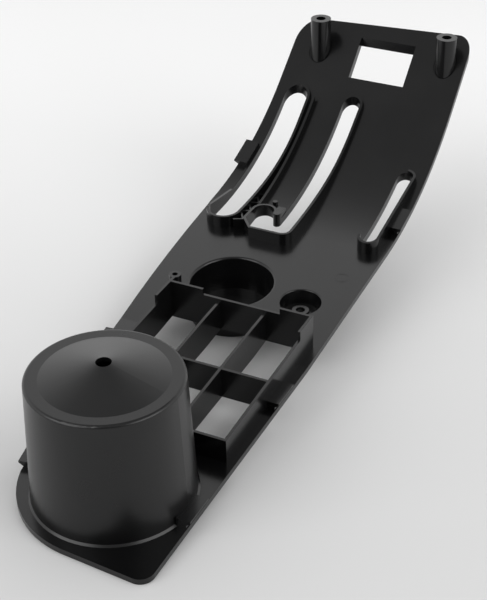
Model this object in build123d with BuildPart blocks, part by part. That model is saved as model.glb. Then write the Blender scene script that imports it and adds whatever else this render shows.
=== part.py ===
"""Side console panel, injection moulded in one piece, seen with its inner side up.

The panel is a bowed strip with an inverted cup holder at its near end, a frame
for six switches, two round recesses, three gated lever slots with raised rims,
a rocker window, screw bosses and snap tabs. It is modelled from the cup axis at
the panel's inner face and moved at the end so that it stands centred on z = 0.
"""

import os
from math import asin, cos, degrees, radians, sin, tan

from build123d import *

os.makedirs("parts", exist_ok=True)

# ---------------------------------------------------------------- dimensions, mm
# Panel section, side view: flat run, shallow ramp, bow and incline
skin = 3.5
flat_end = 144.1
ramp_angle = 3.16
ramp_length = 132.4
bow_radius = 199.5
bow_angle = 38.24

# Panel outline in plan
right_edge = 50.9
nose_radii = (55.2, 52.2, 52.7)
nose_angles = (189.3, 227.5, 267.6)
nose_corner = (right_edge, -56.4)
left_middle = (-79.8, 154.3)
left_bulge = (-88.0, 290.0)
far_left = (-81.2, 437.2)
far_right = (right_edge, 442.2)
near_corner_radius = 8.0
far_left_radius = 16.0
far_right_radius = 11.0

# Cup holder
cup_base_radius = 45.5
cup_top_radius = 42.4
cup_height = 75.9
cup_wall = 2.5
cup_edge_radius = 1.8
cup_foot = 1.1
crown_radius = 34.7
crown_rise = 8.6
drain_radius = 4.25

# Switch frame: centre lines and heights of its thin walls
frame_wall = 1.8
frame_left = -52.5
frame_rib_1 = -17.8
frame_rib_2 = 13.7
frame_right = 44.8
frame_near = 45.5
frame_cross = 102.0
frame_far = 163.5
frame_near_height = 14.9
frame_slope = 1.72
step_y = 145.0
step_height = 24.0
notch_height = 20.0
notch_left = -29.0
notch_right = 24.0

# Corner screw boss beside the frame
corner_boss = (-53.5, 172.0)
corner_boss_radius = 4.0
corner_boss_drop = 0.4
corner_boss_bore = 1.8

# Large and small round recesses, which stand out as pods on the show side
recess_center = (-30.65, 206.6)
recess_radius = 27.4
recess_floor_radius = 25.2
recess_depth = 21.45
recess_pad_radius = 12.5
recess_pad_height = 2.0
recess_edge_radius = 1.5
pod_wall = 3.0
cap_center = (20.05, 203.2)
cap_radius = 13.4
cap_floor_radius = 11.3
cap_edge_radius = 0.8
cap_depth = 8.26
cap_boss_radius = 5.5
cap_boss_height = 2.4
cap_bore_radius = 3.0

# Lever slots; points follow the inside of each slot
rim_wall = 1.8
long_slot_near = (-69.3, 262.8)
long_slot_far = (-65.6, 395.1)
long_slot_left = ((-79.8, 273.5), (-76.5, 325.0), (-74.6, 386.6))
long_slot_right = ((-58.4, 273.0), (-56.4, 325.0), (-56.6, 386.6))
gate_right = -15.0
gate_near = 258.8
gate_far = 394.0
gate_left = ((-30.9, 283.9), (-29.0, 340.0), (-28.5, 387.3))
gate_corner_radius = 5.5
gate_finger = 5.4
lobe_radius = 7.2
lobe_chamfer_x = 8.8
lobe_chamfer_y = 10.5
short_slot_x = 37.2
short_slot_near = 276.9
short_slot_far = 344.5
short_slot_width = 11.5

# Heights of the rim tops above the inner face, as (y, rise)
right_crown = ((252.0, 8.7), (310.0, 7.1), (348.0, 4.5), (367.0, 4.5), (385.0, 4.4), (398.0, 0.5))
left_crown = ((270.0, 8.7), (306.0, 1.0))
lobe_crown = ((252.0, 8.7), (305.0, 2.4))
short_crown = ((262.0, 7.4), (360.0, 0.4))
low_rim_rise = 1.6

# Guide rib beside the long slot, the lattice behind it and the locating pin
guide_rib_x = -50.9
guide_rib_wall = 1.8
guide_rib_rise = 4.5
guide_rib_near = 290.0
guide_rib_far = 388.0
web_wall = 1.1
web_near = 263.5
web_pitch = 13.0
web_skew = 3.0
web_pairs = 4
pin_center = (-42.6, 300.6)
pin_radius = 1.8
pin_height = 2.2

# Rocker window with a collar on the show side
window_left = -31.6
window_right = 10.7
window_near = 406.3
window_far = 431.0
collar_wall = 2.2
collar_drop = 1.7

# Screw boss tubes at the far end
tube_left = (-59.8, 419.5)
tube_right = (36.3, 423.0)
tube_radius = 7.4
tube_bore_radius = 3.45
tube_height = 24.72
tube_relief = 1.0
tube_relief_depth = 0.6
tube_floor = 1.5

# Snap tabs that overhang the long edges
tab_length = 21.0
tab_depth = 8.0
tab_overhang = 2.15
tab_root = 0.4
tab_tip = 1.1
right_tab_height = 5.5
left_tab_height = 4.3
right_tabs_y = (-2.0, 108.25, 307.2)
left_tabs_y = (4.1, 116.0, 339.7)

reach = 600.0


# ---------------------------------------------------------------- construction
def side_run(lift):
    """Draw the inner face in side view, moved along its normal by lift."""
    toe = lift * tan(radians(ramp_angle) / 2)
    flat = Line((-reach, lift), (flat_end - toe, lift))
    ramp = PolarLine(flat @ 1, ramp_length - toe, ramp_angle)
    bow = JernArc(ramp @ 1, ramp % 1, bow_radius - lift, bow_angle)
    incline = PolarLine(bow @ 1, reach, ramp_angle + bow_angle)
    return flat @ 0, incline @ 1


def space(lift, level):
    """Everything between the lifted inner face and a level, across the part."""
    with BuildPart() as block:
        with BuildSketch(Plane.YZ):
            with BuildLine():
                near, far = side_run(lift)
                Polyline(near, (near.X, level), (far.X, level), far)
            make_face()
        extrude(amount=reach, both=True)
    return block.part


def deck(y):
    """Height and slope of the inner face at y."""
    bow_start = flat_end + ramp_length * cos(radians(ramp_angle))
    if y < flat_end:
        return 0.0, 0.0
    if y < bow_start:
        return (y - flat_end) * tan(radians(ramp_angle)), ramp_angle
    bow_sine = sin(radians(ramp_angle)) + (y - bow_start) / bow_radius
    end_sine = sin(radians(ramp_angle + bow_angle))
    slope = degrees(asin(min(bow_sine, end_sine)))
    rise = ramp_length * sin(radians(ramp_angle))
    rise += bow_radius * (cos(radians(ramp_angle)) - cos(radians(slope)))
    rise += max(bow_sine - end_sine, 0) * bow_radius * tan(radians(slope))
    return rise, slope


def below(crown):
    """Everything under a smooth line through (y, rise) points, across the part."""
    points = [(y, deck(y)[0] + rise) for y, rise in crown]
    with BuildPart() as block:
        with BuildSketch(Plane.YZ):
            with BuildLine():
                top = Spline(*points)
                Polyline(top @ 0, ((top @ 0).X, -reach), ((top @ 1).X, -reach), top @ 1)
            make_face()
        extrude(amount=reach, both=True)
    return block.part


def polar(radius, angle):
    return radius * cos(radians(angle)), radius * sin(radians(angle))


above_show_face = space(-skin / 3, reach)
below_inner_face = space(0, -reach)

# ---- panel: side section cut to its outline in plan
with BuildPart() as panel:
    with BuildSketch(Plane.YZ):
        with BuildLine():
            near_top, far_top = side_run(0)
            near_low, far_low = side_run(-skin)
            Line(near_top, near_low)
            Line(far_top, far_low)
        make_face()
    extrude(amount=reach / 4, both=True)
    with BuildSketch(Plane.XY.offset(-reach)) as outline:
        with BuildLine():
            nose = ThreePointArc(*map(polar, nose_radii, nose_angles))
            Line(nose @ 1, nose_corner)
            Line(nose_corner, far_right)
            Line(far_right, far_left)
            Line(far_left, left_bulge)
            ThreePointArc(left_bulge, left_middle, nose @ 0)
        make_face()
        fillet(outline.vertices().sort_by_distance(nose_corner)[0], near_corner_radius)
        fillet(outline.vertices().sort_by_distance(far_right)[0], far_right_radius)
        fillet(outline.vertices().sort_by_distance(far_left)[0], far_left_radius)
    extrude(amount=2 * reach, mode=Mode.INTERSECT)

# ---- cup holder: tapered wall, level ring and a shallow cone with the drain hole
with BuildPart() as cup:
    with BuildSketch(Plane.XZ) as cup_section:
        with BuildLine():
            Polyline(
                (cup_base_radius + cup_foot, 0),
                (cup_base_radius, cup_foot),
                (cup_top_radius, cup_height),
                (crown_radius, cup_height),
                (drain_radius, cup_height + crown_rise),
                (drain_radius, cup_height + crown_rise - cup_wall),
                (crown_radius, cup_height - cup_wall),
                (cup_top_radius - cup_wall, cup_height - cup_wall),
                (cup_base_radius - cup_wall, 0),
                (cup_base_radius - cup_wall, -skin),
                (cup_base_radius + cup_foot, -skin),
                close=True,
            )
        make_face()
        fillet(cup_section.vertices().sort_by_distance((cup_top_radius, cup_height))[0], cup_edge_radius)
    revolve(axis=Axis.Z)

# ---- switch frame: near, cross and far walls, side walls and two ribs
frame_width = frame_right - frame_left
frame_middle = (frame_left + frame_right) / 2
frame_depth = frame_far - frame_near
with BuildPart() as frame:
    with BuildSketch(Plane.XY.offset(-skin)):
        with Locations((frame_middle, (frame_near + frame_far) / 2)):
            Rectangle(frame_width + frame_wall, frame_depth + frame_wall)
            Rectangle(frame_width - frame_wall, frame_depth - frame_wall, mode=Mode.SUBTRACT)
        with Locations((frame_middle, frame_cross)):
            Rectangle(frame_width, frame_wall)
        for rib_x in (frame_rib_1, frame_rib_2):
            with Locations((rib_x, (frame_near + frame_far) / 2)):
                Rectangle(frame_wall, frame_depth)
    extrude(amount=skin + step_height)
    with BuildSketch(Plane.YZ):
        with BuildLine():
            slope_rise = (step_y - frame_near) * tan(radians(frame_slope))
            Polyline(
                (frame_near - frame_wall, -skin),
                (frame_near - frame_wall, frame_near_height),
                (step_y, frame_near_height + slope_rise),
                (step_y, step_height),
                (frame_far + frame_wall, step_height),
                (frame_far + frame_wall, -skin),
                close=True,
            )
        make_face()
    extrude(amount=reach, both=True, mode=Mode.INTERSECT)
    # notch in the far wall, and the ribs stepped down behind it
    with BuildSketch(Plane.XZ.offset(-frame_far - frame_wall)):
        with BuildLine():
            Polyline(
                (notch_left, notch_height),
                (notch_left, 2 * step_height),
                (notch_right, 2 * step_height),
                (notch_right, notch_height),
                close=True,
            )
        make_face()
    extrude(amount=2 * frame_wall, mode=Mode.SUBTRACT)
    rib_top = frame_near_height + slope_rise
    with BuildSketch(Plane.XY.offset(rib_top)):
        with Locations(((frame_rib_1 + frame_rib_2) / 2, (step_y + frame_far - frame_wall) / 2)):
            Rectangle(frame_rib_2 - frame_rib_1 + 2 * frame_wall, frame_far - step_y)
    extrude(amount=step_height, mode=Mode.SUBTRACT)

# ---- lever slots in plan
with BuildSketch() as long_slot:
    with BuildLine():
        ThreePointArc(long_slot_right[0], long_slot_near, long_slot_left[0])
        ThreePointArc(*long_slot_left)
        ThreePointArc(long_slot_left[-1], long_slot_far, long_slot_right[-1])
        ThreePointArc(*long_slot_right)
    make_face()

with BuildSketch() as gate_slot:
    with BuildLine():
        gate_end = ThreePointArc(
            (gate_right, gate_left[-1][1]),
            ((gate_right + gate_left[-1][0]) / 2, gate_far),
            gate_left[-1],
        )
        ThreePointArc(*gate_left)
        Polyline(gate_left[0], (gate_left[0][0], gate_near), (gate_right, gate_near), gate_end @ 0)
    make_face()
    fillet(gate_slot.vertices().sort_by_distance((gate_right, gate_near))[0], gate_corner_radius)

finger_x, finger_y = gate_left[0]
lobe_right = finger_x - gate_finger
lobe_left = lobe_right - 2 * lobe_radius
with BuildSketch() as lobe:
    with BuildLine():
        lobe_end = JernArc((lobe_right, finger_y), (0, 1), lobe_radius, 180)
        Polyline(
            lobe_end @ 1,
            (lobe_left, gate_near + lobe_chamfer_y),
            (lobe_left + lobe_chamfer_x, gate_near),
            (finger_x, gate_near),
            (finger_x, finger_y),
            lobe_end @ 0,
        )
    make_face()
    with Locations(((lobe_right + finger_x) / 2, finger_y)):
        Circle(gate_finger / 2, mode=Mode.SUBTRACT)

short_slot_length = short_slot_far - short_slot_near
short_slot_middle = (short_slot_near + short_slot_far) / 2
with BuildSketch() as short_slot:
    with Locations((short_slot_x, short_slot_middle)):
        SlotCenterToCenter(short_slot_length, short_slot_width, rotation=90)

# ---- raised rims: full height on their near and right sides, low on the left
with BuildSketch() as rim_plan:
    add(long_slot.sketch)
    add(gate_slot.sketch)
    offset(amount=rim_wall, kind=Kind.ARC)

with BuildSketch() as short_rim_plan:
    add(short_slot.sketch)
    offset(amount=rim_wall, kind=Kind.ARC)

gate_middle = (gate_right + gate_left[-1][0]) / 2
near_wall_left = lobe_left + lobe_chamfer_x
with BuildPart() as right_rims:
    with BuildSketch(Plane.XY.offset(-skin)):
        add(rim_plan.sketch)
        with Locations((long_slot_near[0] - reach / 2, long_slot_left[0][1] + reach / 2)):
            Rectangle(reach, reach, mode=Mode.SUBTRACT)
        with Locations(((guide_rib_x + gate_middle) / 2, gate_near + reach / 2)):
            Rectangle(gate_middle - guide_rib_x, reach, mode=Mode.SUBTRACT)
        with Locations(((near_wall_left + gate_middle) / 2, gate_near - rim_wall / 2)):
            Rectangle(gate_middle - near_wall_left, rim_wall)
    extrude(amount=reach)
    add(below(right_crown), mode=Mode.INTERSECT)

with BuildPart() as left_rim:
    with BuildSketch(Plane.XY.offset(-skin)):
        add(rim_plan.sketch)
        with Locations((long_slot_near[0] + reach / 2, 0)):
            Rectangle(reach, 2 * reach, mode=Mode.SUBTRACT)
    extrude(amount=reach)
    add(below(left_crown), mode=Mode.INTERSECT)

with BuildPart() as low_rims:
    with BuildSketch(Plane.XY.offset(-skin)):
        add(rim_plan.sketch)
        add(short_rim_plan.sketch)
    extrude(amount=reach)
    add(space(low_rim_rise, -reach), mode=Mode.INTERSECT)

with BuildPart() as guide_rib:
    with BuildSketch(Plane.XY.offset(-skin)):
        with Locations((guide_rib_x, (guide_rib_near + guide_rib_far) / 2)):
            SlotOverall(guide_rib_far - guide_rib_near, guide_rib_wall, rotation=90)
    extrude(amount=reach)
    add(space(guide_rib_rise, -reach), mode=Mode.INTERSECT)

web_left = long_slot_right[0][0] + rim_wall / 2
web_right = lobe_left - rim_wall / 2
web_nodes = []
for pair in range(web_pairs):
    web_nodes.append((web_left, web_near + pair * web_pitch))
    web_nodes.append((web_right, web_near + pair * web_pitch + web_skew))
with BuildLine() as lattice:
    Polyline(*web_nodes)

with BuildPart() as lobe_rim:
    with BuildSketch(Plane.XY.offset(-skin)):
        add(lobe.sketch)
        offset(amount=rim_wall, kind=Kind.ARC)
        with Locations(((lobe_right + finger_x) / 2, finger_y)):
            Circle(gate_finger / 2)
            Rectangle(gate_finger, lobe_radius + rim_wall, align=(Align.CENTER, Align.MIN))
        trace(lattice.line, web_wall)
    extrude(amount=reach)
    add(below(lobe_crown), mode=Mode.INTERSECT)

with BuildPart() as short_rim:
    with BuildSketch(Plane.XY.offset(-skin)):
        add(short_rim_plan.sketch)
        with Locations((short_slot_x - reach / 2, short_slot_near + reach / 2)):
            Rectangle(reach, reach, mode=Mode.SUBTRACT)
    extrude(amount=reach)
    add(below(short_crown), mode=Mode.INTERSECT)

# ---- screw bosses and the locating pin
tube_top = deck(tube_left[1])[0] + tube_height
corner_boss_top = step_height - corner_boss_drop
with BuildPart() as bosses:
    with BuildSketch(Plane.XY.offset(-skin)):
        with Locations(tube_left, tube_right):
            Circle(tube_radius)
    extrude(amount=tube_top + skin)
    with BuildSketch(Plane.XY.offset(-skin)):
        with Locations(corner_boss):
            Circle(corner_boss_radius)
        with Locations((frame_left, (frame_far + corner_boss[1]) / 2)):
            Rectangle(frame_wall, corner_boss[1] - frame_far)
    extrude(amount=corner_boss_top + skin)
    with BuildSketch(Plane.XY):
        with Locations(pin_center):
            Circle(pin_radius)
    extrude(amount=deck(pin_center[1])[0] + pin_height)

# ---- everything raised on the inner side, kept clear of the show face
with BuildPart() as raised:
    add(frame.part)
    add(right_rims.part)
    add(left_rim.part)
    add(low_rims.part)
    add(guide_rib.part)
    add(lobe_rim.part)
    add(short_rim.part)
    add(bosses.part)
    add(above_show_face, mode=Mode.INTERSECT)

# ---- pods and window collar on the show side, kept clear of the inner face
recess_floor_z = deck(recess_center[1])[0] - recess_depth
recess_draft = degrees(asin((recess_radius - recess_floor_radius) / recess_depth))
cap_floor_z = deck(cap_center[1])[0] - cap_depth
cap_draft = degrees(asin((cap_radius - cap_floor_radius) / cap_depth))
window_center = ((window_left + window_right) / 2, (window_near + window_far) / 2)
window_width = window_right - window_left
window_length = window_far - window_near
with BuildPart() as pods:
    with BuildSketch(Plane.XY.offset(recess_floor_z - pod_wall)):
        with Locations(recess_center):
            Circle(recess_floor_radius + pod_wall)
    extrude(amount=recess_depth + pod_wall + skin, taper=-recess_draft)
    with BuildSketch(Plane.XY.offset(cap_floor_z - pod_wall)):
        with Locations(cap_center):
            Circle(cap_floor_radius + pod_wall)
    extrude(amount=cap_depth + pod_wall + skin, taper=-cap_draft)
    add(below_inner_face, mode=Mode.INTERSECT)

with BuildPart() as collar:
    with BuildSketch():
        with Locations(window_center):
            Rectangle(window_width + 2 * collar_wall, window_length + 2 * collar_wall)
    extrude(amount=reach)
    add(space(-skin - collar_drop, reach), mode=Mode.INTERSECT)
    add(below_inner_face, mode=Mode.INTERSECT)

# ---- snap tabs: a block on the panel whose thin lip hangs over the edge
def edge_point(y, side):
    """Point of a long edge on the inner face at y; side is 1 for right, -1 for left."""
    strip = Edge.make_line((-reach, y, 0), (reach, y, 0)) & outline.sketch_local
    box = strip.bounding_box()
    return Vector(box.max.X if side > 0 else box.min.X, y, deck(y)[0])


def snap_tab(y, side, depth, height):
    near, far = edge_point(y - tab_length / 2, side), edge_point(y + tab_length / 2, side)
    along = (far - near).normalized()
    outward = Vector(along.Y, -along.X, 0) * side
    with BuildPart() as tab:
        with BuildSketch(Plane(origin=(near + far) * 0.5, x_dir=outward, z_dir=along * -side)):
            with BuildLine():
                Polyline(
                    (-depth, -skin / 2),
                    (-depth, height),
                    (tab_overhang, height),
                    (tab_overhang, height - tab_tip),
                    (-tab_root, height - tab_tip - tab_overhang),
                    (-tab_root, -skin / 2),
                    close=True,
                )
            make_face()
        extrude(amount=tab_length / 2, both=True)
    return tab.part


cup_side_depth = right_edge - cup_base_radius + cup_wall / 2
tabs = [snap_tab(right_tabs_y[0], 1, cup_side_depth, right_tab_height)]
tabs.append(snap_tab(right_tabs_y[1], 1, right_edge - frame_right, right_tab_height))
tabs.append(snap_tab(right_tabs_y[2], 1, tab_depth, right_tab_height))
for tab_y in left_tabs_y:
    tabs.append(snap_tab(tab_y, -1, tab_depth, left_tab_height))

# ---- relief in the incline round the feet of the screw tubes
with BuildPart() as relief:
    with BuildSketch():
        with Locations(tube_left, tube_right):
            Circle(tube_radius + tube_relief)
    extrude(amount=reach)
    add(space(-tube_relief_depth, reach), mode=Mode.INTERSECT)

# ---- the whole moulding
cell_x = (frame_left, frame_rib_1, frame_rib_2, frame_right)
cell_y = (frame_near, frame_cross, frame_far)
with BuildPart() as console_panel:
    add(panel.part)
    add(relief.part, mode=Mode.SUBTRACT)
    add(raised.part)
    add(pods.part)
    add(collar.part)
    add(tabs)
    with BuildSketch(Plane.XY.offset(-skin)):
        Circle(cup_base_radius - cup_wall)
    extrude(amount=2 * skin, mode=Mode.SUBTRACT)
    add(cup.part)

    # through openings: switch cells, lever slots and window
    with BuildSketch(Plane.XY.offset(-reach)):
        for left, right in zip(cell_x, cell_x[1:]):
            for near, far in zip(cell_y, cell_y[1:]):
                with Locations(((left + right) / 2, (near + far) / 2)):
                    Rectangle(right - left - frame_wall, far - near - frame_wall)
        add(long_slot.sketch)
        add(gate_slot.sketch)
        add(lobe.sketch)
        add(short_slot.sketch)
        with Locations(window_center):
            Rectangle(window_width, window_length)
    extrude(amount=2 * reach, mode=Mode.SUBTRACT)

    # round recesses with a pad and a drilled boss on their floors
    with BuildSketch(Plane.XY.offset(recess_floor_z)):
        with Locations(recess_center):
            Circle(recess_floor_radius)
    extrude(amount=recess_depth + skin, taper=-recess_draft, mode=Mode.SUBTRACT)
    fillet(edges(Select.LAST).sort_by(Axis.Z)[-1], recess_edge_radius)
    with BuildSketch(Plane.XY.offset(cap_floor_z)):
        with Locations(cap_center):
            Circle(cap_floor_radius)
    extrude(amount=cap_depth + skin, taper=-cap_draft, mode=Mode.SUBTRACT)
    fillet(edges(Select.LAST).sort_by(Axis.Z)[-1], cap_edge_radius)
    with BuildSketch(Plane.XY.offset(recess_floor_z - pod_wall / 2)):
        with Locations(recess_center):
            Circle(recess_pad_radius)
    extrude(amount=pod_wall / 2 + recess_pad_height)
    with BuildSketch(Plane.XY.offset(cap_floor_z - pod_wall / 2)):
        with Locations(cap_center):
            Circle(cap_boss_radius)
    extrude(amount=pod_wall / 2 + cap_boss_height)

    # screw holes
    with Locations((*cap_center, cap_floor_z + cap_boss_height)):
        Hole(cap_bore_radius, depth=pod_wall + cap_boss_height)
    for x, y in (tube_left, tube_right):
        with Locations((x, y, tube_top)):
            Hole(tube_bore_radius, depth=tube_top - deck(y)[0] - tube_floor)
    with Locations((*corner_boss, corner_boss_top)):
        Hole(corner_boss_bore, depth=corner_boss_top - deck(corner_boss[1])[0] - tube_floor)

    # origin: centred in plan, lowest pod face at z = 0
    part_box = console_panel.part.bounding_box()

console_panel.part.locate(Location((-part_box.center().X, -part_box.center().Y, -part_box.min.Z)))
console_panel.part.label = "console_panel"
export_step(console_panel.part, "parts/console_panel.step")
print(part_box.center(), part_box.min.Z, part_box.size)
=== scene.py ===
"""Looks for the moulded side console panel: satin black plastic on a pale studio floor."""

import math

import bpy
from mathutils import Matrix, Vector


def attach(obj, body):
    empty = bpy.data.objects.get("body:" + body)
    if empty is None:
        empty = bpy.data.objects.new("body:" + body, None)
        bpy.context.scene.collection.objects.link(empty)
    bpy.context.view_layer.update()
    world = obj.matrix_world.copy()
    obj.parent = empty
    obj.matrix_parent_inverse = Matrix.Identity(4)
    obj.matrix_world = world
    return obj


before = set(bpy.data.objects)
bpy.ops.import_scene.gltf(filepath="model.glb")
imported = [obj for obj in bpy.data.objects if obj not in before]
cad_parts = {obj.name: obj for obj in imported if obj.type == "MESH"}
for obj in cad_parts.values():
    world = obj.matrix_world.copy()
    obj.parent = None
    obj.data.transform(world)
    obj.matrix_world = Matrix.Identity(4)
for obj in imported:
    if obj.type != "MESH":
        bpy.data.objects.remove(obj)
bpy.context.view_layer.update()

# Lengths are metres and angles degrees, but for the camera's sensor, which is in millimetres.
# Each cloud or grain is a noise scale and its detail.

# ---------------------------------------------------------------- camera, as in the photograph
CAMERA_PLACE = Vector((0.34590, -0.69140, 0.53459))
CAMERA_AZIMUTH = -26.443
CAMERA_DIP = 33.559
CAMERA_ROLL = -1.174
CAMERA_CLIP_END = 20
FRAME_HEIGHT = 600
FOCAL_PIXELS = 1434.97
SENSOR = 36.0

# ---------------------------------------------------------------- floor
# The panel stands on the near rim of its large pod and on its near edge.
POD_CONTACT = Vector((-0.0130, -0.0146, 0.0))
NEAR_CONTACT = Vector((0.0376, -0.2480, 0.0175))
FLOOR_HALF_WIDTH = 6.0
FLOOR_CLEARANCE = 0.0002
# Painted shade on the floor: its colour runs from darker near the camera side to paler far away.
FLOOR_SHADE_REACH = (-0.35, 0.60)
FLOOR_SHADE_TONES = (0.66, 0.96)
FLOOR_STAIN = (0.98, 1.02)
FLOOR_CLOUD = (1.5, 2.0)
FLOOR_ROUGHNESS = 0.75
FLOOR_SPECULAR = 0.1

# ---------------------------------------------------------------- world and lamps
# BACK points level, away from the camera. Directions are ranked by their share along it.
BACK = (-0.445, 0.895, 0.0)
BACKDROP_LEVEL = 1.18
CEILING_LEVEL = 0.50
FRONT_LEVEL = 0.14
BACKDROP_REACH = (-0.85, -0.10)
CEILING_REACH = (0.56, 0.93)
LAMP_PLACES = {"front_left": (-1.10, -2.20, 1.50), "front_right": (2.40, -0.44, 1.50)}
LAMP_TARGET = (0, 0, 0.02)
LAMP_WIDTH = 2.0
LAMP_POWER = 30.0

# ---------------------------------------------------------------- finish of the moulding
NOISE_REACH = (0.3, 0.7)
PLASTIC_CLOUD = (28.0, 4.0)
PLASTIC_GRAIN = (2600.0, 2.0)
PLASTIC_DARK = (0.35, (0.0028, 0.0028, 0.0030, 1))
PLASTIC_PALE = (0.7, (0.0044, 0.0044, 0.0046, 1))
PLASTIC_IOR = 1.46
GRAIN_STRENGTH = 0.12
GRAIN_DEPTH = 0.00004
SATIN_ROUGHNESS = (0.19, 0.24)
CUP_AXIS = (0.0177, -0.1930, 0.0)
CUP_REACH = (0.0440, 0.0500)
CUP_EXTRA_ROUGHNESS = 0.08

# ---------------------------------------------------------------- ejector mark on the inner face
MARK_PLACE = Vector((0.05206, 0.04482, 0.02622))
MARK_TILT = 3.2
MARK_RADIUS = 0.0044
MARK_BEAD = 0.00028
MARK_SINK = 0.00016
MARK_SEGMENTS = 64
MARK_BEAD_SEGMENTS = 12


def make_camera():
    """The photograph's camera: its place, its direction and its roll about that direction."""
    azimuth, dip, roll = map(math.radians, (CAMERA_AZIMUTH, CAMERA_DIP, CAMERA_ROLL))
    level = math.cos(dip)
    look = Vector((math.sin(azimuth) * level, math.cos(azimuth) * level, -math.sin(dip)))
    level_right = look.cross(Vector((0, 0, 1))).normalized()
    level_up = level_right.cross(look)
    right = level_right * math.cos(roll) + level_up * math.sin(roll)
    up = right.cross(look)
    data = bpy.data.cameras.new("camera")
    data.sensor_fit = "VERTICAL"
    data.sensor_height = SENSOR
    data.lens = FOCAL_PIXELS * SENSOR / FRAME_HEIGHT
    data.clip_end = CAMERA_CLIP_END
    camera = bpy.data.objects.new("camera", data)
    rotation = Matrix((right, up, -look)).transposed().to_4x4()
    camera.matrix_world = Matrix.Translation(CAMERA_PLACE) @ rotation
    bpy.context.scene.collection.objects.link(camera)
    bpy.context.scene.camera = camera


# ---------------------------------------------------------------- shader parts
def new_material(name):
    material = bpy.data.materials.new(name)
    material.use_nodes = True
    nodes = material.node_tree.nodes
    return material, nodes, material.node_tree.links, nodes["Principled BSDF"]


def noise(nodes, links, place, scale, detail):
    texture = nodes.new("ShaderNodeTexNoise")
    texture.inputs["Scale"].default_value = scale
    texture.inputs["Detail"].default_value = detail
    links.new(place, texture.inputs["Vector"])
    return texture.outputs["Fac"]


def remap(nodes, links, source, reach, values, interpolation="SMOOTHSTEP"):
    """Map one range of values onto another, and hold the ends beyond it."""
    mapped = nodes.new("ShaderNodeMapRange")
    mapped.interpolation_type = interpolation
    mapped.inputs["From Min"].default_value, mapped.inputs["From Max"].default_value = reach
    mapped.inputs["To Min"].default_value, mapped.inputs["To Max"].default_value = values
    links.new(source, mapped.inputs["Value"])
    return mapped.outputs["Result"]


def combine(nodes, links, operation, first, second):
    math_node = nodes.new("ShaderNodeMath")
    math_node.operation = operation
    links.new(first, math_node.inputs[0])
    links.new(second, math_node.inputs[1])
    return math_node.outputs["Value"]


def vector_math(nodes, links, operation, source, constant):
    vector = nodes.new("ShaderNodeVectorMath")
    vector.operation = operation
    vector.inputs[1].default_value = constant
    links.new(source, vector.inputs[0])
    return vector.outputs


# ---------------------------------------------------------------- materials
def plastic_material():
    """Satin black plastic with cloudy gloss and fine grain; the cup is duller than the rest."""
    material, nodes, links, shader = new_material("satin_black_plastic")
    place = nodes.new("ShaderNodeTexCoord").outputs["Object"]
    cloud = noise(nodes, links, place, *PLASTIC_CLOUD)
    grain = noise(nodes, links, place, *PLASTIC_GRAIN)
    ramp = nodes.new("ShaderNodeValToRGB")
    for element, (position, color) in zip(ramp.color_ramp.elements, (PLASTIC_DARK, PLASTIC_PALE)):
        element.position = position
        element.color = color
    links.new(cloud, ramp.inputs["Fac"])
    links.new(ramp.outputs["Color"], shader.inputs["Base Color"])
    plan = vector_math(nodes, links, "MULTIPLY", place, (1, 1, 0))["Vector"]
    from_cup = vector_math(nodes, links, "DISTANCE", plan, CUP_AXIS)["Value"]
    cup = remap(nodes, links, from_cup, CUP_REACH, (CUP_EXTRA_ROUGHNESS, 0.0))
    satin = remap(nodes, links, cloud, NOISE_REACH, SATIN_ROUGHNESS, "LINEAR")
    links.new(combine(nodes, links, "ADD", satin, cup), shader.inputs["Roughness"])
    bump = nodes.new("ShaderNodeBump")
    bump.inputs["Strength"].default_value = GRAIN_STRENGTH
    bump.inputs["Distance"].default_value = GRAIN_DEPTH
    links.new(grain, bump.inputs["Height"])
    links.new(bump.outputs["Normal"], shader.inputs["Normal"])
    shader.inputs["IOR"].default_value = PLASTIC_IOR
    return material


def floor_material():
    """Pale matt sheet with painted shade: darker towards the camera side, paler far away."""
    material, nodes, links, shader = new_material("pale_floor")
    place = nodes.new("ShaderNodeTexCoord").outputs["Object"]
    cloud = noise(nodes, links, place, *FLOOR_CLOUD)
    depth = vector_math(nodes, links, "DOT_PRODUCT", place, BACK)["Value"]
    # Painted shade: the floor colour darkens towards the camera side along BACK.
    painted_front_shade = remap(nodes, links, depth, FLOOR_SHADE_REACH, FLOOR_SHADE_TONES)
    stain = remap(nodes, links, cloud, NOISE_REACH, FLOOR_STAIN, "LINEAR")
    links.new(combine(nodes, links, "MULTIPLY", painted_front_shade, stain), shader.inputs["Base Color"])
    shader.inputs["Roughness"].default_value = FLOOR_ROUGHNESS
    shader.inputs["Specular IOR Level"].default_value = FLOOR_SPECULAR
    return material


# ---------------------------------------------------------------- stage and light
def make_floor():
    """A wide sheet under the part, tilted so that both contacts lie on it."""
    lean = (POD_CONTACT.z - NEAR_CONTACT.z) / (POD_CONTACT.y - NEAR_CONTACT.y)
    mesh = bpy.data.meshes.new("floor")
    corners = []
    for side, depth in ((-1, -1), (1, -1), (1, 1), (-1, 1)):
        x, y = side * FLOOR_HALF_WIDTH, depth * FLOOR_HALF_WIDTH
        corners.append((x, y, POD_CONTACT.z + lean * (y - POD_CONTACT.y) - FLOOR_CLEARANCE))
    mesh.from_pydata(corners, [], [(0, 1, 2, 3)])
    mesh.materials.append(floor_material())
    floor = bpy.data.objects.new("floor", mesh)
    bpy.context.scene.collection.objects.link(floor)


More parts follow.
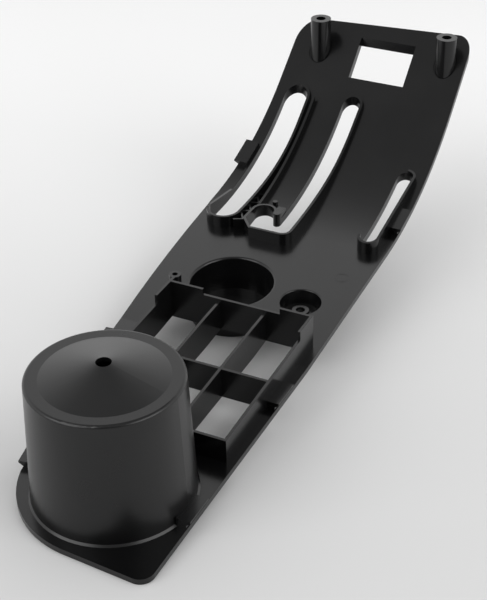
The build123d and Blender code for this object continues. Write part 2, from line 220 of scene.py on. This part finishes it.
def make_world():
    """Studio surroundings: bright backdrop low at the back, grey ceiling, dim room in front."""
    world = bpy.data.worlds.new("studio")
    world.use_nodes = True
    nodes, links = world.node_tree.nodes, world.node_tree.links
    direction = nodes.new("ShaderNodeTexCoord").outputs["Generated"]
    axes = nodes.new("ShaderNodeSeparateXYZ")
    links.new(direction, axes.inputs["Vector"])
    backward = vector_math(nodes, links, "DOT_PRODUCT", direction, BACK)["Value"]
    walls = remap(nodes, links, backward, BACKDROP_REACH, (FRONT_LEVEL, BACKDROP_LEVEL))
    height = remap(nodes, links, axes.outputs["Z"], CEILING_REACH, (0.0, 1.0))
    level = nodes.new("ShaderNodeMix")
    links.new(height, level.inputs["Factor"])
    links.new(walls, level.inputs["A"])
    level.inputs["B"].default_value = CEILING_LEVEL
    links.new(level.outputs["Result"], nodes["Background"].inputs["Color"])
    bpy.context.scene.world = world


def make_lamps():
    """Large square softboxes in front of the part, turned towards its middle."""
    for name, place in LAMP_PLACES.items():
        data = bpy.data.lights.new(name, "AREA")
        data.shape = "SQUARE"
        data.size = LAMP_WIDTH
        data.energy = LAMP_POWER
        lamp = bpy.data.objects.new(name, data)
        lamp.location = place
        aim = Vector(LAMP_TARGET) - Vector(place)
        lamp.rotation_euler = aim.to_track_quat("-Z", "Y").to_euler()
        bpy.context.scene.collection.objects.link(lamp)


# ---------------------------------------------------------------- the part
def dress_panel(plastic):
    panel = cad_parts["console_panel"]
    panel.data.materials.clear()
    panel.data.materials.append(plastic)


def make_ejector_mark(plastic):
    """The faint round line that an ejector pin leaves, as a bead sunk into the skin."""
    tilt = math.radians(MARK_TILT)
    up = Vector((0, -math.sin(tilt), math.cos(tilt)))
    bpy.ops.mesh.primitive_torus_add(
        major_radius=MARK_RADIUS, minor_radius=MARK_BEAD,
        major_segments=MARK_SEGMENTS, minor_segments=MARK_BEAD_SEGMENTS,
        location=MARK_PLACE - up * MARK_SINK, rotation=(tilt, 0, 0))
    mark = bpy.context.object
    mark.name = "ejector_mark"
    mark.data.polygons.foreach_set("use_smooth", [True] * len(mark.data.polygons))
    mark.data.materials.append(plastic)
    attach(mark, "root")


make_camera()
make_floor()
make_world()
make_lamps()
plastic = plastic_material()
dress_panel(plastic)
make_ejector_mark(plastic)
bpy.context.scene.view_settings.view_transform = "Standard"
